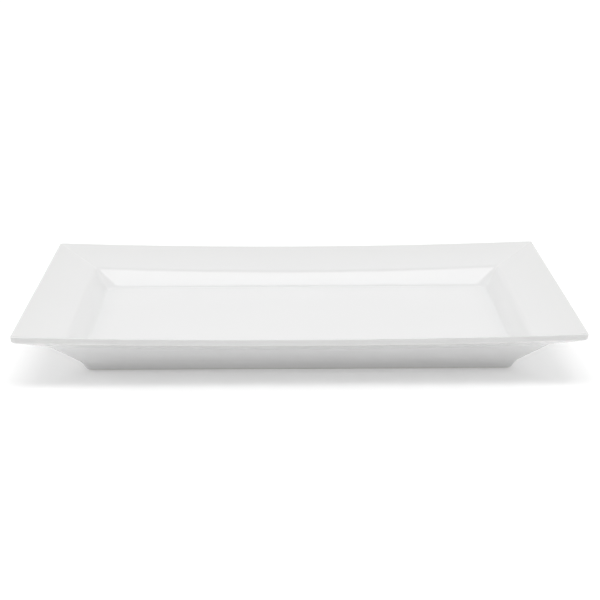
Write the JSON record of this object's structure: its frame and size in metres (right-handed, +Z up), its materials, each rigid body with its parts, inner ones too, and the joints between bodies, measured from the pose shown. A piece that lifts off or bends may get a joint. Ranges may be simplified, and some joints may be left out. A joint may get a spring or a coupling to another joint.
{
  "type": "serving platter",
  "caption": "Rectangular white porcelain serving platter with a wide sloping rim, a shallow flat-floored well and a raised foot ring.",
  "frame": {"origin": "on the table, under the middle of the platter: the centre of the bounding box's bottom face", "axes": "+X along the platter's long side, +Y across it, +Z up out of the well"},
  "size_m": [0.3808, 0.2536, 0.038],
  "materials": {
    "bare_porcelain": "matte",
    "glaze": "polished",
    "base_glaze": "polished"
  },
  "bodies": {
    "root": {"porcelain_body": "bare_porcelain", "glaze_coat": "glaze", "base_glaze": "base_glaze"}
  },
  "joints": []
}
